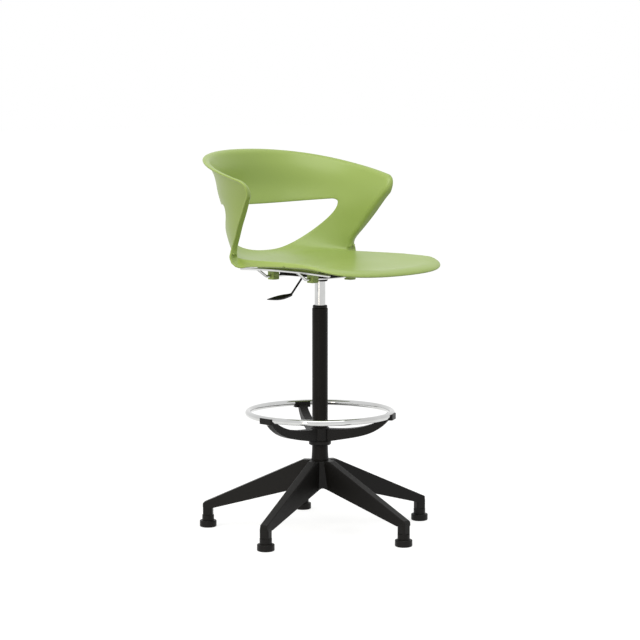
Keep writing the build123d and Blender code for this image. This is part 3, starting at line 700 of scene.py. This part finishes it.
def shellMesh():
    inset = shell["edgeRound"]
    curves = sectionCurves()
    skin = plainSkin(curves)
    left, right = borderDistance(skin, 1)
    toSide = np.minimum(surfaceDistance(left, skin), surfaceDistance(right, skin))
    toRim = surfaceDistance(borderDistance(skin, 0)[1], skin)
    outside = np.maximum(-toSide, -toRim)
    outside = np.maximum(outside, outsideFront(skin))
    outside = np.maximum(outside, outsideWing(toRim, toSide))
    hole = outsideHole(skin)
    rimShare = np.clip((toSide - toRim) / (toSide + toRim + 1), -1, 1) / 2 + 0.5
    rimShare = rimShare ** 2 * (3 - 2 * rimShare)
    rimShare *= (skin[..., 2] > shell["waist"])
    turn = [
        side * (1 - rimShare) + rim * rimShare
        for side, rim in zip(curves[7:10], shell["rimTurn"])]
    skin = turnBorder(skin, -hole, *shell["holeTurn"])
    skin = turnBorder(skin, -outside, *turn)
    away = np.maximum(outside, hole) + inset
    rowPlaces = gradedPlaces(shell["rows"], False, shell["rimBorder"])
    columnPlaces = gradedPlaces(shell["columns"], True, shell["sideBorder"])
    rowPlaces *= fine["rows"] - 1
    columnPlaces *= fine["columns"] - 1
    lattice = np.stack(np.meshgrid(rowPlaces, columnPlaces, indexing="ij"), -1)
    lattice, state = snapToEdges(lattice, away)
    faces = keptFaces(state, lattice, away)
    points = pick(skin, lattice[..., 0], lattice[..., 1]).reshape(-1, 3)
    normals = unit(pick(outwardNormals(skin), lattice[..., 0], lattice[..., 1]).reshape(-1, 3))
    used = sorted({corner for face in faces for corner in face})
    renumber = {old: new for new, old in enumerate(used)}
    faces = [[renumber[corner] for corner in face] for face in faces]
    return points[used], normals[used], faces


def addShell():
    # the sat-on face, the same face a wall's thickness away, and rounded edges between them
    points, normals, faces = shellMesh()
    wall, bend = shell["wall"], shell["edgeRound"]
    border = borderLoops(faces)
    outward = np.zeros_like(points)
    for start, end in border:
        along = points[end] - points[start]
        side = np.cross(along, normals[start] + normals[end])
        outward[start] += unit(side)
        outward[end] += unit(side)
    sample = border[0]
    third = next(face for face in faces if sample[0] in face and sample[1] in face)
    inner = np.mean([points[corner] for corner in third], axis=0)
    if np.dot(outward[sample[0]], points[sample[0]] - inner) < 0:
        outward = -outward
    outward = unit(outward)
    count = len(points)
    everything = [points, points + normals * wall]
    turns = np.radians(np.linspace(0, 90, shell["edgeSteps"] + 1)[1:])
    profile = [(bend * math.sin(t), bend * (1 - math.cos(t))) for t in turns]
    profile += [(out, wall - deep) for out, deep in reversed(profile)]
    ringOrder = [start for start, end in border]
    place = {corner: k for k, corner in enumerate(ringOrder)}
    for out, deep in profile:
        everything.append(points[ringOrder] + outward[ringOrder] * out + normals[ringOrder] * deep)
    flat = [list(face) for face in faces]
    flat += [[corner + count for corner in reversed(face)] for face in faces]
    rings = len(profile)
    first = 2 * count

    def corner(vertex, ring):
        if ring == 0:
            return vertex
        if ring == rings + 1:
            return vertex + count
        return first + (ring - 1) * len(ringOrder) + place[vertex]

    for start, end in border:
        for ring in range(rings + 1):
            near = [corner(end, ring), corner(start, ring)]
            far = [corner(start, ring + 1), corner(end, ring + 1)]
            flat.append(near + far)
    allPoints = np.concatenate(everything) * millimetre
    allPoints[:, 1] *= -1       # fore runs towards -y
    mesh = bpy.data.meshes.new("seatShell")
    mesh.from_pydata(allPoints.tolist(), [], flat)
    piece = bpy.data.objects.new("seatShell", mesh)
    bpy.context.collection.objects.link(piece)
    tidyNormals(piece)
    print("shell:", len(allPoints), "points,", len(flat), "faces")
    return piece


def tidyNormals(piece):
    bpy.ops.object.select_all(action="DESELECT")
    piece.select_set(True)
    bpy.context.view_layer.objects.active = piece
    bpy.ops.object.mode_set(mode="EDIT")
    bpy.ops.mesh.select_all(action="SELECT")
    bpy.ops.mesh.normals_make_consistent(inside=False)
    bpy.ops.object.mode_set(mode="OBJECT")
    bpy.ops.object.shade_smooth()
    piece.select_set(False)


# bosses and ribs moulded under the shell, in metres
fixing = {
    "bossAcross": 0.073,
    "bossFore": (-0.110, 0.045),
    "bossSize": 0.024,
    "bossCorner": 0.003,
    "cornerSteps": 4,
    "bossBevel": 0.0006,
    "rodRadius": 0.0042,        # of the groove that the cross rod lies in
    "rodLevel": 0.713,
    "rodSides": 32,             # flats of the groove
    "ribAcross": 0.1285,
    "ribThickness": 0.004,
    "ribLength": 0.300,
    "ribBottom": 0.7385,
    "ribLean": 0.036,           # how far each end leans outwards as it rises
    "ribCuts": 23,
    "ribBevel": 0.0008,
    "above": 0.742,             # where the top starts before it rises to the shell
    "sunkIn": 0.002,            # how far it runs into the shell's wall
    "slack": 0.0005,            # allowed when a face is found by its level
    "bevelSteps": 2,
    "sharpAngle": 40,           # degrees; steeper edges are bevelled
    "smoothAngle": 35,          # degrees; flatter edges are shaded smooth
}


def startBlock(name, place, size):
    bpy.ops.object.select_all(action="DESELECT")
    bpy.ops.mesh.primitive_cube_add(size=1, location=place, scale=size)
    piece = bpy.context.object
    piece.name = name
    bpy.ops.object.transform_apply(location=True, rotation=True, scale=True)
    return piece


def selectWhere(piece, wanted, mode="VERT"):
    # selects the vertices or edges that pass a test on their place, and stays in edit mode
    bpy.ops.object.mode_set(mode="EDIT")
    bpy.ops.mesh.select_mode(type=mode)
    bpy.ops.mesh.select_all(action="DESELECT")
    bpy.ops.object.mode_set(mode="OBJECT")
    points = piece.data.vertices
    if mode == "EDGE":
        for edge in piece.data.edges:
            edge.select = wanted(*(points[k].co for k in edge.vertices))
    else:
        for point in points:
            point.select = wanted(point.co)
    bpy.ops.object.mode_set(mode="EDIT")


def raiseToShell(piece, top):
    # lifts the top of a block until it runs a little way into the underside of the shell
    group = piece.vertex_groups.new(name="top")
    high = [point.index for point in piece.data.vertices if point.co.z > top - fixing["slack"]]
    group.add(high, 1, "REPLACE")
    wrap = piece.modifiers.new("meetShell", "SHRINKWRAP")
    wrap.target = seatShell
    wrap.vertex_group = "top"
    wrap.wrap_method = "PROJECT"
    wrap.use_project_z = True
    wrap.use_negative_direction = False
    wrap.use_positive_direction = True
    bpy.ops.object.modifier_apply(modifier=wrap.name)
    selectWhere(piece, lambda spot: spot.z > top)
    bpy.ops.transform.translate(value=(0, 0, fixing["sunkIn"]))
    bpy.ops.object.mode_set(mode="OBJECT")


def cutGroove(piece, place, length):
    # along x, for the cross rod
    bpy.ops.mesh.primitive_cylinder_add(
        vertices=fixing["rodSides"], radius=fixing["rodRadius"], depth=length,
        location=place, rotation=(0, math.pi / 2, 0))
    cutter = bpy.context.object
    bpy.ops.object.transform_apply(location=True, rotation=True, scale=True)
    bpy.ops.object.select_all(action="DESELECT")
    piece.select_set(True)
    bpy.context.view_layer.objects.active = piece
    groove = piece.modifiers.new("groove", "BOOLEAN")
    groove.object = cutter
    groove.operation = "DIFFERENCE"
    groove.solver = "EXACT"
    bpy.ops.object.modifier_apply(modifier=groove.name)
    bpy.data.objects.remove(cutter)


def finishFixing(piece, bevel):
    soften = piece.modifiers.new("soften", "BEVEL")
    soften.width = bevel
    soften.segments = fixing["bevelSteps"]
    soften.limit_method = "ANGLE"
    soften.angle_limit = math.radians(fixing["sharpAngle"])
    bpy.ops.object.modifier_apply(modifier=soften.name)
    bpy.ops.object.shade_smooth_by_angle(angle=math.radians(fixing["smoothAngle"]))
    piece.data.materials.append(finishes["shell_plastic"])
    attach(piece, "seat")
    piece.select_set(False)


def addBoss(number, x, fore):
    bottom, top, size = fixing["rodLevel"], fixing["above"], fixing["bossSize"]
    height = top - bottom
    piece = startBlock(f"shellBoss{number}", (x, -fore, bottom + height / 2), (size, size, height))
    selectWhere(piece, lambda a, b: abs(a.z - b.z) > height / 2, "EDGE")
    bpy.ops.mesh.bevel(offset=fixing["bossCorner"], segments=fixing["cornerSteps"], affect="EDGES")
    bpy.ops.object.mode_set(mode="OBJECT")
    raiseToShell(piece, top)
    cutGroove(piece, (x, -fore, bottom), 2 * size)
    finishFixing(piece, fixing["bossBevel"])


def addRib(side):
    bottom, top, length = fixing["ribBottom"], fixing["above"], fixing["ribLength"]
    piece = startBlock(
        "shellRibLeft" if side > 0 else "shellRibRight",
        (side * fixing["ribAcross"], 0, (bottom + top) / 2),
        (fixing["ribThickness"], length, top - bottom))
    low = bottom + fixing["slack"]
    for end in (-1, 1):
        selectWhere(piece, lambda spot: spot.z < low and spot.y * end > 0)
        bpy.ops.transform.translate(value=(0, -end * fixing["ribLean"], 0))
    selectWhere(piece, lambda a, b: abs(a.y - b.y) > length / 2, "EDGE")
    bpy.ops.mesh.subdivide(number_cuts=fixing["ribCuts"])
    bpy.ops.object.mode_set(mode="OBJECT")
    raiseToShell(piece, top)
    finishFixing(piece, fixing["ribBevel"])


addCamera()
addFloor()
lightRoom()
bpy.context.scene.view_settings.view_transform = "Standard"
print("studio ready")

finishes = {
    "shell_plastic": mouldedShell(),
    "black_plastic": mouldedBlack("blackNylon", colour(0.0056, 0.0051, 0.0046), 0.42),
    "black_paint": powderCoat(),
    "chrome": chromePlate(),
    "steel": zincSteel(),
    "black_rubber": mouldedBlack("blackRubber", colour(0.008, 0.008, 0.008), 0.6),
    "acetal": mouldedBlack("blackAcetal", colour(0.008, 0.0075, 0.007), 0.34),
    "pad_plastic": mouldedBlack("glidePad", colour(0.015, 0.015, 0.015), 0.5),
}
for row in frame["record"]["subparts"]:
    part = nodes[row["node"]]
    part.data.materials.clear()
    part.data.materials.append(finishes[row["material_slot"]])
print("parts dressed")

seatShell = addShell()
seatShell.data.materials.append(finishes["shell_plastic"])
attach(seatShell, "seat")
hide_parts("seat_shell")

bossSpots = [(side * fixing["bossAcross"], fore) for fore in fixing["bossFore"] for side in (-1, 1)]
for number, (x, fore) in enumerate(bossSpots, 1):
    addBoss(number, x, fore)
for side in (-1, 1):
    addRib(side)
print("fixings:", len(bossSpots), "bosses, 2 ribs")
